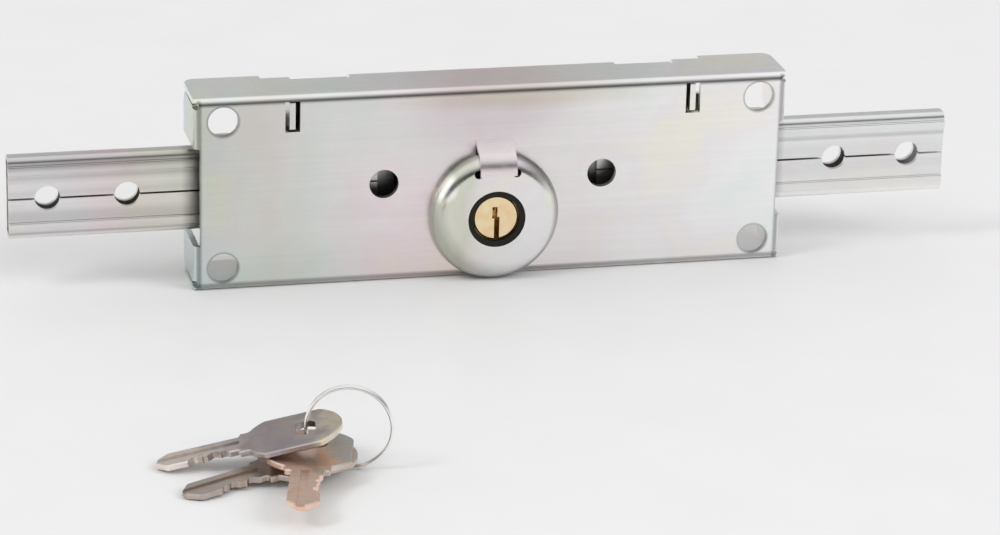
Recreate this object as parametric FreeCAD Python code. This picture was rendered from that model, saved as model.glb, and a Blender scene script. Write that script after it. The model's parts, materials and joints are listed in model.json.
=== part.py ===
import FreeCAD, Part
import os
from math import asin, cos, degrees, pi, radians, sin, sqrt, tan

from FreeCAD import Vector

# Central lock for a roller shutter. Sizes are in millimetres.
# X runs along the two bolts, Y runs from the face into the lock, Z is up.
# The origin is the centre of the four fixing holes, on the face of the case.

os.makedirs("parts", exist_ok=True)

# Pressed steel case
case_width = 155.0
case_height = 51.0
case_depth = 18.0
case_sheet = 1.5
case_bend_radius = 1.9
corner_relief_radius = 0.9
corner_relief_from_side = 0.6
corner_slit = 0.5
corner_slit_from_face = 2.0
lip_height = 5.0
lip_fold_radius = 2.4
fold_depth = 5.0
wall_notch_inner = 35.0
wall_notch_outer = 50.5
end_lip_outer = 58.0
wall_corner_radius = 3.0

# Fixing holes and the two holes for a face plate
fix_spacing_x = 140.0
fix_spacing_z = 39.0
fix_hole_diameter = 7.8
face_hole_spacing = 57.2
face_hole_height = 0.9
face_hole_diameter = 7.6

# Locating lugs of the cover and their slots in the face
lug_place_x = 52.3
lug_thickness = 1.5
lug_bottom = 16.6
lug_top = 23.6
lug_slot_width = 3.8
lug_slot_bottom = 16.0
lug_set_back = 0.3
lug_window_margin = 0.4

# Back cover
cover_sheet = 1.5
cover_gap = 0.1
cover_side_clearance = 0.3
cover_corner_from_end = 13.8
cover_corner_from_z = 11.1
hook_below_wall = 0.75
bead_width = 4.4
bead_start = 32.0
bead_end = 72.0
bead_spacing = 11.6
bead_sheet = 1.2
bead_draft = 0.6

# Drawn guard over the cylinder
guard_radius = 17.0
guard_height = 5.0
guard_sheet = 1.5
guard_edge_radius = 4.0
guard_hole_diameter = 15.0
guard_leg_width = 4.0
guard_leg_sheet = 1.2
guard_leg_length = 3.2
guard_leg_clearance = 0.1
guard_notch_radius = 1.1
guard_notch_from_tongue = 0.2
guard_notch_above_end = 0.3
tongue_width = 9.6
tongue_sheet = 1.2
tongue_end_from_axis = 11.9
tongue_root_from_axis = 20.1
tongue_rim_rise = 1.7
tongue_bend_back = 0.4
tongue_bend_rise = 0.5

# Lock cylinder
cylinder_radius = 8.2
cylinder_front = 3.3
cylinder_back = 6.3
cylinder_hole_clearance = 0.2
flange_width = 30.0
flange_height = 13.0
flange_thickness = 2.4
flange_corner = 3.0
screw_spacing = 23.0
screw_diameter = 3.0
screw_head_diameter = 5.2
screw_head_height = 1.5
screw_head_rounding = 0.5
screw_slot_depth = 0.6
screw_slot_width = 0.8
screw_hole_clearance = 0.1
screw_end_past = 0.6
chamber_width = 6.4
chamber_top_from_axis = 13.5
chamber_roof = 0.8
plug_radius = 5.85
plug_running_clearance = 0.06
plug_recess = 1.3
plug_rim_chamfer = 0.35
keyway_width = 1.9
keyway_top = 2.9
keyway_ward = 0.55
keyway_depth = 8.4
keyway_step = 0.2
ring_wall = 1.45
ring_recess = 0.3
ring_back_past = 0.1
pin_count = 4
pin_radius = 0.85
pin_hole_clearance = 0.06
pin_first = -1.6
pin_pitch = 2.2
key_pin_length = 2.4
key_pin_step = 0.35
key_pin_tip_radius = 0.3
key_pin_point = 0.6
key_pin_gap = 0.05
driver_length = 2.9
spring_wire = 0.16
spring_turns = 4
clip_thickness = 0.6
clip_gap = 0.1
clip_outer_radius = 7.0
clip_groove_depth = 0.7
clip_opening = 5.0

# Bolts
bolt_height = 21.5
bolt_depth = 5.5
bolt_sheet = 1.2
bolt_corner = 1.5
bolt_centre_height = -0.5
bolt_front = 6.5
bolt_end = 123.4
bolt_inner_end = 29.0
bolt_seam = 0.5
bolt_hole_diameter = 6.5
bolt_hole_from_end = 9.8
bolt_hole_spacing = 20.2
bead_inner = 6.2
bead_outer = 8.8
bolt_bead_height = 0.5
bolt_bead_rounding = 0.4
bolt_running_gap = 0.3
bolt_slot_height = 26.0
bolt_slot_face_cut = 1.7

# Rack drive
gear_module = 0.8
pinion_teeth = 8
addendum_factor = 0.7
dedendum_factor = 0.95
tooth_backlash = 0.24
pressure_angle = 20.0
rack_side_gap = 0.05
rack_bar_height = 5.0
rack_neck_height = 1.0
rack_neck_slope = 3.0
rack_rivet_cover = 0.6
rack_in_bolt_gap = 0.4
tooth_foot = 0.2
rack_end_margin = 3.6
rack_tail = 24.0
rack_tail_height = 15.0
rack_gap = 0.6
shaft_tongue_width = 2.2
shaft_tongue_length = 1.2
shaft_tongue_clearance = 0.05
shaft_tongue_from_rim = 1.5
shaft_gap = 0.35
journal_radius = 2.0
journal_clearance = 0.05
journal_overhang = 1.3
journal_groove_depth = 0.5
hub_past_teeth = 0.3
rivet_radius = 1.5
rivet_head_radius = 2.3
rivet_from_seam = 0.3
rack_rivet_first = 7.0
rack_rivet_spacing = 11.0

# Rear bush and its clip
bush_radius = 3.8
bush_flange_radius = 5.4
bush_flange_thickness = 1.0
tail_clip_thickness = 0.6
tail_clip_radius = 3.6
tail_clip_gap = 0.15
tail_clip_opening = 2.8

# Bolt guides
guide_from_end = 27.8
guide_length = 7.0
guide_sheet = 1.2
guide_bend_radius = 1.0
guide_foot = 4.6
guide_rivet_radius = 1.25
guide_rivet_head_radius = 2.0
guide_rivet_head_height = 0.5

# Keys on their ring, lying on the floor in front of the lock
key_thickness = 1.5
key_bow_length = 23.0
key_bow_width = 19.0
key_blade_length = 20.5
key_blade_width = 7.4
key_slot_length = 7.6
key_slot_width = 4.8
key_slot_from_end = 8.5
key_shoulder_length = 5.0
key_shoulder_overlap = 4.0
key_shoulder_step = 1.5
key_edge_chamfer = 0.3
key_nose_flat = 0.8
key_nose_side = 0.2
key_cut_pitch = 2.2
key_cut_first = 4.6
key_cut_floor = 0.8
key_a_cuts = (1.1, 1.9, 0.8, 1.5)
key_b_cuts = (1.6, 0.9, 1.9, 1.2)
key_c_cuts = (0.9, 1.5, 1.2, 1.9)
key_groove_width = 2.0
key_groove_depth = 0.45
key_groove_low = 1.4
key_floor_gap = 0.03
key_a_height = 9.15
key_a_heading = 171.0
key_b_height = 3.2
key_b_heading = 200.0
key_c_height = 5.34
key_c_heading = 256.0
key_ring_radius = 9.85
key_ring_wire = 0.42
key_ring_x = -60.6
key_ring_y = -118.2
key_ring_turn = -13.6
key_ring_turns_overlap = 0.1

# How far a cutting shape reaches past what it cuts
past = 1.0

# Places worked out from the sizes above
half_width = case_width / 2
half_height = case_height / 2
floor_height = -half_height
axis_height = guard_radius - half_height
tongue_end = axis_height + tongue_end_from_axis
tongue_root = axis_height + tongue_root_from_axis
chamber_top = axis_height + chamber_top_from_axis
cover_back = case_depth - case_sheet - cover_gap
cover_front = cover_back - cover_sheet
cover_corner_from_x = half_width - cover_corner_from_end
guide_from = half_width - guide_from_end
bolt_back = bolt_front + bolt_depth
pitch_radius = gear_module * pinion_teeth / 2
tooth_pitch = pi * gear_module
tip_radius = pitch_radius + addendum_factor * gear_module
root_radius = pitch_radius - dedendum_factor * gear_module
bolt_travel = 2 * pi * pitch_radius
rack_front = bolt_front + bolt_sheet + rack_side_gap
rack_thickness = bolt_depth - 2 * bolt_sheet - 2 * rack_side_gap
rack_root = pitch_radius + dedendum_factor * gear_module
rack_reach = bolt_travel + rack_end_margin
guide_z_low = bolt_centre_height - bolt_height / 2 - bolt_running_gap
guide_z_high = bolt_centre_height + bolt_height / 2 + bolt_running_gap
guide_inner_y = bolt_front - bolt_bead_height - bolt_running_gap
along_y = Vector(0, 1, 0)
far = 2 * case_width


def box(x_low, x_high, y_low, y_high, z_low, z_high):
    size = (x_high - x_low, y_high - y_low, z_high - z_low)
    return Part.makeBox(size[0], size[1], size[2], Vector(x_low, y_low, z_low))


def rod(x, z, radius, y_low, y_high):
    return Part.makeCylinder(radius, y_high - y_low, Vector(x, y_low, z), along_y)


def plate(points, y_low, y_high):
    """Flat plate with an outline in the XZ plane."""
    corners = [Vector(x, y_low, z) for x, z in points]
    face = Part.Face(Part.makePolygon(corners + corners[:1]))
    return face.extrude(Vector(0, y_high - y_low, 0))


def section(points, x_low, x_high):
    """Straight length with an outline in the YZ plane."""
    corners = [Vector(x_low, y, z) for y, z in points]
    face = Part.Face(Part.makePolygon(corners + corners[:1]))
    return face.extrude(Vector(x_high - x_low, 0, 0))


def fuse(shapes):
    whole = shapes[0]
    for shape in shapes[1:]:
        whole = whole.fuse(shape)
    return whole.removeSplitter()


def cut(shape, tools):
    for tool in tools:
        shape = shape.cut(tool)
    return shape


def both_sides(shape):
    """The shape and its mirror image across the lock's middle."""
    return [shape, shape.mirror(Vector(0, 0, 0), Vector(1, 0, 0))]


def above_and_below(shape):
    return [shape, shape.mirror(Vector(0, 0, 0), Vector(0, 0, 1))]


def four_corners(shape):
    return [copy for side in both_sides(shape) for copy in above_and_below(side)]


def edges_where(shape, test):
    return [edge for edge in shape.Edges if test(edge)]


def is_ring_at(edge, y):
    return len(edge.Vertexes) == 1 and abs(edge.Vertexes[0].Y - y) < 1e-6


def on_face_rim(edge):
    return all(abs(vertex.Y) < 1e-6 for vertex in edge.Vertexes)


def save(name, shape):
    shape.exportStep("parts/" + name + ".step")
    print(name, len(shape.Solids), "solids, valid", shape.isValid(), "volume", round(shape.Volume, 1))


def front_case():
    """Face plate with four folded walls, one pressing of zinc-plated sheet."""
    outer = box(-half_width, half_width, 0, case_depth, -half_height, half_height)
    outer = outer.makeFillet(case_bend_radius, edges_where(outer, on_face_rim))
    inner_width = half_width - case_sheet
    inner_height = half_height - case_sheet
    inner = box(-inner_width, inner_width, case_sheet, case_depth + past, -inner_height, inner_height)
    tray = outer.cut(inner)
    tools = []
    # The long walls stop short of the cover's hooks and end in lips folded over the cover
    folded = box(-end_lip_outer, end_lip_outer, case_depth - fold_depth, far,
                 inner_height - past, far)
    tools += above_and_below(folded)
    side_trim = box(inner_width - past, far, cover_back, far, -inner_height, inner_height)
    tools += both_sides(side_trim)
    # Slits and small round reliefs where the walls meet at the corners
    slit = box(inner_width - past, far, corner_slit_from_face, far,
               inner_height - corner_slit, inner_height)
    relief_z = inner_height - corner_slit / 2
    relief_x = half_width - corner_relief_from_side
    relief = rod(relief_x, relief_z, corner_relief_radius, -past, case_sheet + past)
    tools += four_corners(slit) + four_corners(relief)
    tools += four_corners(long_wall_corner()) + four_corners(end_wall_corner())
    # The bolts leave through open slots that bite a little into the face
    slot_low = bolt_centre_height - bolt_slot_height / 2
    slot_high = bolt_centre_height + bolt_slot_height / 2
    bolt_slot = box(half_width - bolt_slot_face_cut, far, -past, far, slot_low, slot_high)
    tools += both_sides(bolt_slot)
    # Fixing holes, face plate holes and the slots for the cover's lugs
    fix_hole = rod(fix_spacing_x / 2, fix_spacing_z / 2, fix_hole_diameter / 2,
                   -past, case_sheet + past)
    tools += four_corners(fix_hole)
    face_hole = rod(face_hole_spacing / 2, face_hole_height, face_hole_diameter / 2,
                    -past, case_sheet + past)
    tools += both_sides(face_hole)
    lug_slot = box(lug_place_x - lug_slot_width / 2, lug_place_x + lug_slot_width / 2,
                   -past, case_sheet + past, lug_slot_bottom, inner_height)
    tools += both_sides(lug_slot)
    # Opening for the cylinder, and the gap the tongue was pressed out of
    tools.append(rod(0, axis_height, cylinder_radius + cylinder_hole_clearance,
                     -past, case_sheet + past))
    tools.append(box(-tongue_width / 2, tongue_width / 2, -past, case_sheet + past,
                     axis_height, tongue_root - past))
    screw_hole = screw_diameter / 2 + screw_hole_clearance
    tools += [rod(x, axis_height, screw_hole, -past, case_sheet + past) for x in screw_places()]
    tools += [leg_slot(turn) for turn in guard_leg_turns()]
    tray = cut(tray, tools)
    return fuse([tray] + case_lips() + [guard_tongue()])


def long_wall_corner():
    """What is cut away to round a back corner of a long wall."""
    x = half_width - wall_corner_radius
    y = case_depth - wall_corner_radius
    block = box(x, far, y, far, half_height - case_sheet - past, far)
    return block.cut(Part.makeCylinder(wall_corner_radius, far, Vector(x, y, 0), Vector(0, 0, 1)))


def end_wall_corner():
    """What is cut away to round a back corner of an end wall."""
    top = half_height - case_sheet - corner_slit
    y = cover_back - wall_corner_radius
    z = top - wall_corner_radius
    block = box(half_width - case_sheet - past, far, y, far, z, top + past)
    return block.cut(Part.makeCylinder(wall_corner_radius, far, Vector(0, y, z), Vector(1, 0, 0)))


def case_lips():
    """Back of the long walls, rolled over into lips that hold the cover."""
    start = case_depth - fold_depth
    lip_front = cover_back + cover_gap
    inner = half_height - case_sheet
    reach = half_height - lip_height
    points = [(start, inner), (lip_front, inner), (lip_front, reach), (case_depth, reach),
              (case_depth, half_height), (start, half_height)]

    def lip(x_low, x_high):
        bar = section(points, x_low, x_high)
        fold = edges_where(bar, lambda e: all(v.Y > lip_front and v.Z > inner for v in e.Vertexes))
        return bar.makeFillet(lip_fold_radius, fold)
    middle = lip(-wall_notch_inner, wall_notch_inner)
    end = lip(wall_notch_outer, end_lip_outer)
    return above_and_below(middle) + four_corners(end)


def guard_tongue():
    """Strip of the face pressed forward over the rim of the guard, with soft bends."""
    back = guard_height
    front = guard_height + tongue_sheet
    knee = axis_height + guard_radius - tongue_rim_rise
    points = [(0, tongue_root), (case_sheet, tongue_root), (case_sheet, tongue_root - past),
              (tongue_bend_back, tongue_root - past), (-back, knee), (-back, tongue_end),
              (-front, tongue_end), (-front, knee + tongue_bend_rise)]
    strip = section(points, -tongue_width / 2, tongue_width / 2)

    def bend_at(y, z):
        return edges_where(strip, lambda e: all(abs(v.Y - y) + abs(v.Z - z) < 1e-6 for v in e.Vertexes))
    outer_radius = guard_edge_radius + tongue_sheet
    strip = strip.makeFillet(outer_radius, bend_at(-front, knee + tongue_bend_rise))
    return strip.makeFillet(guard_edge_radius, bend_at(-back, knee))


def screw_places():
    return [-screw_spacing / 2, screw_spacing / 2]


def guard_leg_turns():
    return [35, 145, 225, 315]


def leg_bar(turn, width, thickness, y_low, y_high):
    """Flat leg of the guard's wall at an angle round the cylinder."""
    middle = guard_radius - guard_sheet / 2
    bar = box(middle - thickness / 2, middle + thickness / 2, y_low, y_high, -width / 2, width / 2)
    bar.rotate(Vector(0, 0, 0), along_y, -turn)
    bar.translate(Vector(0, 0, axis_height))
    return bar


def leg_slot(turn):
    room = 2 * guard_leg_clearance
    return leg_bar(turn, guard_leg_width + room, guard_leg_sheet + room, -past, case_sheet + past)


def cylinder_guard():
    """Round cup drawn from hard steel, held by the tongue and four bent legs."""
    cup = rod(0, axis_height, guard_radius, -guard_height, 0)
    front_rim = edges_where(cup, lambda e: is_ring_at(e, -guard_height))
    cup = cup.makeFillet(guard_edge_radius, front_rim)
    hollow = rod(0, axis_height, guard_radius - guard_sheet, guard_sheet - guard_height, past)
    inner_rim = edges_where(hollow, lambda e: is_ring_at(e, guard_sheet - guard_height))
    hollow = hollow.makeFillet(guard_edge_radius - guard_sheet, inner_rim)
    tools = [hollow, rod(0, axis_height, guard_hole_diameter / 2, -far, past)]
    notch_x = tongue_width / 2 + guard_notch_from_tongue
    notch_z = tongue_end + guard_notch_above_end
    tools += both_sides(rod(notch_x, notch_z, guard_notch_radius, -far, past))
    legs = [leg_bar(turn, guard_leg_width, guard_leg_sheet, -past, guard_leg_length)
            for turn in guard_leg_turns()]
    return fuse([cut(cup, tools)] + legs)


def dust_ring():
    """Black ring between the guard's hole and the plug."""
    outer = guard_hole_diameter / 2
    back = -guard_height + guard_sheet + ring_back_past
    ring = rod(0, axis_height, outer, -guard_height + ring_recess, back)
    return ring.cut(rod(0, axis_height, outer - ring_wall, -far, far))


def pin_places():
    return [pin_first + index * pin_pitch for index in range(pin_count)]


def pin_hole(y, z_low, z_high):
    radius = pin_radius + pin_hole_clearance
    return Part.makeCylinder(radius, z_high - z_low, Vector(0, y, z_low), Vector(0, 0, 1))


def cylinder_body():
    """Brass barrel with its pin chambers on top and a fixing flange behind the face."""
    front = -cylinder_front
    barrel = rod(0, axis_height, cylinder_radius, front, cylinder_back)
    half = chamber_width / 2
    chambers = box(-half, half, front, cylinder_back, axis_height, chamber_top)
    flange = box(-flange_width / 2, flange_width / 2, case_sheet, case_sheet + flange_thickness,
                 axis_height - flange_height / 2, axis_height + flange_height / 2)
    ends = edges_where(flange, lambda e: abs(e.Vertexes[0].Y - e.Vertexes[-1].Y) > past)
    flange = flange.makeFillet(flange_corner, ends)
    tools = [rod(0, axis_height, plug_radius + plug_running_clearance, -far, far)]
    tools += [pin_hole(y, axis_height, chamber_top - chamber_roof) for y in pin_places()]
    tools += [rod(x, axis_height, screw_diameter / 2, 0, far) for x in screw_places()]
    return cut(fuse([barrel, chambers, flange]), tools)


def cylinder_screws():
    """Two screws that hold the cylinder's flange against the face, under the guard."""
    screws = []
    for x in screw_places():
        shank_end = case_sheet + flange_thickness + screw_end_past
        shank = rod(x, axis_height, screw_diameter / 2, -screw_hole_clearance, shank_end)
        head = rod(x, axis_height, screw_head_diameter / 2, -screw_head_height, 0)
        rim = edges_where(head, lambda e: is_ring_at(e, -screw_head_height))
        head = head.makeFillet(screw_head_rounding, rim)
        slot = box(x - far, x + far, -far, screw_slot_depth - screw_head_height,
                   axis_height - screw_slot_width / 2, axis_height + screw_slot_width / 2)
        screws.append(fuse([head.cut(slot), shank]))
    return Part.makeCompound(screws)


def plug_front():
    return -guard_height + plug_recess


def plug():
    """Brass plug with a warded keyway, turned by the key."""
    front = plug_front()
    back = rack_front - shaft_gap
    body = rod(0, axis_height, plug_radius, front, back)
    rim = edges_where(body, lambda e: is_ring_at(e, front))
    body = body.makeChamfer(plug_rim_chamfer, rim)
    half = keyway_width / 2
    slot_back = front + keyway_depth
    upper = box(-half, half - keyway_ward, -far, slot_back,
                axis_height - keyway_step, axis_height + keyway_top)
    lower = box(keyway_ward - half, half, -far, slot_back,
                axis_height - far, axis_height + keyway_step)
    groove_outer = rod(0, axis_height, plug_radius + past, cylinder_back + clip_gap,
                       cylinder_back + clip_gap + clip_thickness)
    groove = groove_outer.cut(rod(0, axis_height, plug_radius - clip_groove_depth, -far, far))
    tongue = box(-far, far, back - shaft_tongue_length, far,
                 axis_height - shaft_tongue_width / 2, axis_height + shaft_tongue_width / 2)
    tools = [upper, lower, groove, tongue]
    tools += [pin_hole(y, axis_height, axis_height + plug_radius + past) for y in pin_places()]
    return cut(body, tools)


def plug_clip():
    """Open spring clip in the plug's groove, behind the barrel."""
    low = cylinder_back + clip_gap
    clip = rod(0, axis_height, clip_outer_radius, low, low + clip_thickness)
    clip = clip.cut(rod(0, axis_height, plug_radius - clip_groove_depth, -far, far))
    mouth = clip_opening / 2
    return clip.cut(box(-mouth, mouth, -far, far, axis_height - far, axis_height))


def key_pins():
    """Pointed pins that rest on the key's cuts, as long as the key is cut."""
    pins = []
    for index, y in enumerate(pin_places()):
        top = axis_height + sqrt(plug_radius ** 2 - pin_radius ** 2) - key_pin_gap
        length = key_pin_length + key_pin_step * ((index * 2) % 3)
        shank = Part.makeCylinder(pin_radius, length, Vector(0, y, top - length), Vector(0, 0, 1))
        foot = Vector(0, y, top - length - key_pin_point)
        point = Part.makeCone(key_pin_tip_radius, pin_radius, key_pin_point, foot, Vector(0, 0, 1))
        pins.append(shank.fuse(point).removeSplitter())
    return Part.makeCompound(pins)


def driver_base():
    return axis_height + plug_radius + plug_running_clearance


def driver_pins():
    """Flat-ended pins pushed down onto the key pins."""
    up = Vector(0, 0, 1)
    base = driver_base()
    return Part.makeCompound([Part.makeCylinder(pin_radius, driver_length, Vector(0, y, base), up)
                              for y in pin_places()])


def pin_springs():
    """One small coil spring over each driver pin."""
    base = driver_base() + driver_length + spring_wire
    top = chamber_top - chamber_roof - spring_wire
    springs = []
    for y in pin_places():
        radius = pin_radius - 2 * spring_wire
        coil = Part.makeHelix((top - base) / spring_turns, top - base, radius)
        start = Vector(radius, 0, 0)
        wire = Part.Wire(Part.makeCircle(spring_wire, start, along_y))
        spring = Part.Wire(coil.Edges).makePipeShell([wire], True, True)
        spring.translate(Vector(0, y, base))
        springs.append(spring)
    return Part.makeCompound(springs)


def pinion_shaft():
    """Steel tail of the plug with the pinion cut on it and a journal for the rear bush."""
    def tooth(turn):
        half = tooth_pitch / 4 - tooth_backlash / 4
        slope = tan(radians(pressure_angle))
        tip = half - (tip_radius - pitch_radius) * slope
        root = root_radius * sin(pi / pinion_teeth / 2)
        points = [(-root, 0), (-root, root_radius), (-half, pitch_radius), (-tip, tip_radius),
                  (tip, tip_radius), (half, pitch_radius), (root, root_radius), (root, 0)]
        blank = plate(points, rack_front, rack_front + rack_thickness)
        blank.rotate(Vector(0, 0, 0), along_y, turn)
        blank.translate(Vector(0, 0, axis_height))
        return blank
    teeth = [tooth(360 * index / pinion_teeth) for index in range(pinion_teeth)]
    hub_end = rack_front + rack_thickness + hub_past_teeth
    hub = rod(0, axis_height, root_radius, rack_front - shaft_gap, hub_end)
    half = shaft_tongue_width / 2 - shaft_tongue_clearance
    low = rack_front - shaft_gap - shaft_tongue_length + shaft_tongue_clearance
    reach = plug_radius - shaft_tongue_from_rim
    tongue = box(-reach, reach, low, rack_front - shaft_gap,
                 axis_height - half, axis_height + half)
    journal = rod(0, axis_height, journal_radius, rack_front, cover_back + journal_overhang)
    low = cover_back + tail_clip_gap
    groove = rod(0, axis_height, journal_radius + past, low, low + tail_clip_thickness)
    groove = groove.cut(rod(0, axis_height, journal_radius - journal_groove_depth, -far, far))
    return fuse([hub, tongue, journal] + teeth).cut(groove)


def tail_bush():
    """Bronze bush pressed into the cover for the shaft's journal."""
    barrel = rod(0, axis_height, bush_radius, cover_front - bush_flange_thickness, cover_back)
    flange = rod(0, axis_height, bush_flange_radius, cover_front - bush_flange_thickness, cover_front)
    return fuse([barrel, flange]).cut(rod(0, axis_height, journal_radius + journal_clearance, -far, far))


def tail_clip():
    """Open clip in the journal's groove, behind the cover."""
    low = cover_back + tail_clip_gap
    clip = rod(0, axis_height, tail_clip_radius, low, low + tail_clip_thickness)
    clip = clip.cut(rod(0, axis_height, journal_radius - journal_groove_depth, -far, far))
    mouth = tail_clip_opening / 2
    return clip.cut(box(-mouth, mouth, -far, far, axis_height - far, axis_height))


def bolt(side):
    """Sheet folded into a flat box, open at its ends, with its seam along the front."""
    low = bolt_centre_height - bolt_height / 2
    high = bolt_centre_height + bolt_height / 2
    tube = box(bolt_inner_end, bolt_end, bolt_front, bolt_back, low, high)
    along = edges_where(tube, lambda e: abs(e.Vertexes[0].X - e.Vertexes[-1].X) > past)
    tube = tube.makeFillet(bolt_corner, along)
    hollow = box(bolt_inner_end - past, bolt_end + past, bolt_front + bolt_sheet, bolt_back - bolt_sheet,
                 low + bolt_sheet, high - bolt_sheet)
    ribs = []
    for sign in (-1, 1):
        edge_a = bolt_centre_height + sign * bead_inner
        edge_b = bolt_centre_height + sign * bead_outer
        rib = box(bolt_inner_end, bolt_end, bolt_front - bolt_bead_height, bolt_front + bolt_sheet / 2,
                  min(edge_a, edge_b), max(edge_a, edge_b))
        crest = edges_where(rib, lambda e: all(v.Y < bolt_front for v in e.Vertexes)
                            and abs(e.Vertexes[0].X - e.Vertexes[-1].X) > past)
        ribs.append(rib.makeFillet(bolt_bead_rounding, crest))
    seam = box(bolt_inner_end - past, bolt_end + past, bolt_front - past, bolt_front + 2 * bolt_sheet,
               bolt_centre_height - bolt_seam / 2, bolt_centre_height + bolt_seam / 2)
    tools = [hollow, seam]
    tools += [rod(x, bolt_centre_height, bolt_hole_diameter / 2, 0, far) for x in bar_hole_places()]
    tools += [rivet_hole(x) for x in rack_rivet_places()]
    whole = cut(fuse([tube] + ribs), tools)
    return place_side(whole, side)


def bar_hole_places():
    outer = bolt_end - bolt_hole_from_end
    return [outer - bolt_hole_spacing, outer]


def rack_rivet_places():
    first = bolt_inner_end + rack_rivet_first
    return [first, first + rack_rivet_spacing]


def place_side(shape, side):
    """Pieces are drawn on the right; the left one is the mirror image."""
    if side > 0:
        return shape
    return shape.mirror(Vector(0, 0, 0), Vector(1, 0, 0))


def rivet(x, z):
    """Rivet through the bolt with a countersunk head in each of its walls."""
    sink = rivet_head_radius - rivet_radius
    shank = rod(x, z, rivet_radius, bolt_front, bolt_back)
    front = Part.makeCone(rivet_head_radius, rivet_radius, sink, Vector(x, bolt_front, z), along_y)
    back = Part.makeCone(rivet_radius, rivet_head_radius, sink, Vector(x, bolt_back - sink, z), along_y)
    return fuse([shank, front, back])


def rivet_height():
    """The rivets sit above the seam, in the middle of both racks' tails."""
    return bolt_centre_height + rivet_head_radius + bolt_seam / 2 + rivet_from_seam


def rivet_hole(x):
    return rivet(x, rivet_height())


def rack_rivets(side):
    rivets = [rivet(x, rivet_height()) for x in rack_rivet_places()]
    return Part.makeCompound([place_side(one, side) for one in rivets])


def rack_teeth(first, last, sign):
    """Teeth of a rack that lies above (sign 1) or below (sign -1) the pinion."""
    slope = tan(radians(pressure_angle))
    half = tooth_pitch / 4 - tooth_backlash / 4
    reach = addendum_factor * gear_module
    base = dedendum_factor * gear_module
    teeth = []
    for index in range(first, last):
        centre = (index + 0.5) * tooth_pitch
        tip = half - reach * slope
        root = half + (base + tooth_foot) * slope
        tip_z = axis_height + sign * (pitch_radius - reach)
        root_z = axis_height + sign * (rack_root + tooth_foot)
        points = [(centre - tip, tip_z), (centre + tip, tip_z),
                  (centre + root, root_z), (centre - root, root_z)]
        teeth.append(plate(points, rack_front, rack_front + rack_thickness))
    return teeth


def teeth_in_reach():
    return int(bolt_travel / tooth_pitch + 0.5) + 1


def right_rack():
    """Upper rack, with its teeth down; its tail is riveted inside the right bolt."""
    low = axis_height + rack_root
    high = rivet_height() + rivet_head_radius + rack_rivet_cover
    bar = box(-rack_reach, bolt_inner_end + rack_tail, rack_front, rack_front + rack_thickness, low, high)
    teeth = rack_teeth(-teeth_in_reach(), 1, 1)
    rack = fuse([bar] + teeth)
    return cut(rack, [rivet_hole(x) for x in rack_rivet_places()])


def left_rack():
    """Lower rack, with its teeth up; its neck rises past the pinion into the left bolt."""
    top = axis_height - rack_root
    bottom = top - rack_bar_height
    neck_inner = -rack_reach - rack_gap
    neck_outer = tooth_foot - bolt_inner_end
    tail_end = -bolt_inner_end - rack_tail
    tail_low = bolt_centre_height - bolt_height / 2 + bolt_sheet + rack_in_bolt_gap
    tail_high = tail_low + rack_tail_height
    points = [(rack_reach, top), (rack_reach, bottom), (neck_outer, bottom), (neck_outer, tail_low),
              (tail_end, tail_low), (tail_end, tail_high), (neck_inner, tail_high),
              (neck_inner, axis_height - pitch_radius + rack_neck_height),
              (neck_inner + rack_neck_slope, top)]
    bar = plate(points, rack_front, rack_front + rack_thickness)
    rack = fuse([bar] + rack_teeth(-1, teeth_in_reach(), -1))
    return cut(rack, [rivet_hole(x).mirror(Vector(0, 0, 0), Vector(1, 0, 0)) for x in rack_rivet_places()])


def back_cover():
    """Rear plate with hooks in the walls' notches, two lugs and beads for the bolts."""
    wide = half_width - case_sheet - cover_side_clearance
    tall = half_height - case_sheet - cover_side_clearance
    sheet = box(-wide, wide, cover_front, cover_back, -tall, tall)
    hook = box(wall_notch_inner + cover_side_clearance, wall_notch_outer - cover_side_clearance,
               cover_front, cover_back, tall - past, half_height - hook_below_wall)
    corner = box(cover_corner_from_x, far, -far, far, cover_corner_from_z, far)
    half = lug_thickness / 2
    lug = box(lug_place_x - half, lug_place_x + half, lug_set_back, cover_back, lug_bottom, lug_top)
    window = box(lug_place_x + half, far, -far, far, lug_bottom - lug_window_margin, far)
    sheet = cut(fuse([sheet] + four_corners(hook)), four_corners(corner) + both_sides(window))
    solids = [sheet] + both_sides(lug)
    hollows = [rod(0, axis_height, bush_radius, -far, far)]
    for z in bead_places():
        solids += both_sides(bead(z, 0))
        hollows += both_sides(bead(z, bead_sheet))
    hollows += [rod(x, z, guide_rivet_radius, 0, far) for x, z in guide_rivet_places()]
    return cut(fuse(solids), hollows)


def bead_places():
    return [bolt_centre_height - bead_spacing / 2, bolt_centre_height + bead_spacing / 2]


def bead(z, inset):
    """Pressed bead with round ends that a bolt slides along, or its hollow at an inset."""
    half = bead_width / 2 - bead_draft * inset
    crest = bolt_back + bolt_running_gap + inset
    back = cover_front if inset == 0 else cover_back + past
    bar = box(bead_start, bead_end, crest, back, z - half, z + half)
    ends = [rod(x, z, half, crest, back) for x in (bead_start, bead_end)]
    return fuse([bar] + ends)


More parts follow.
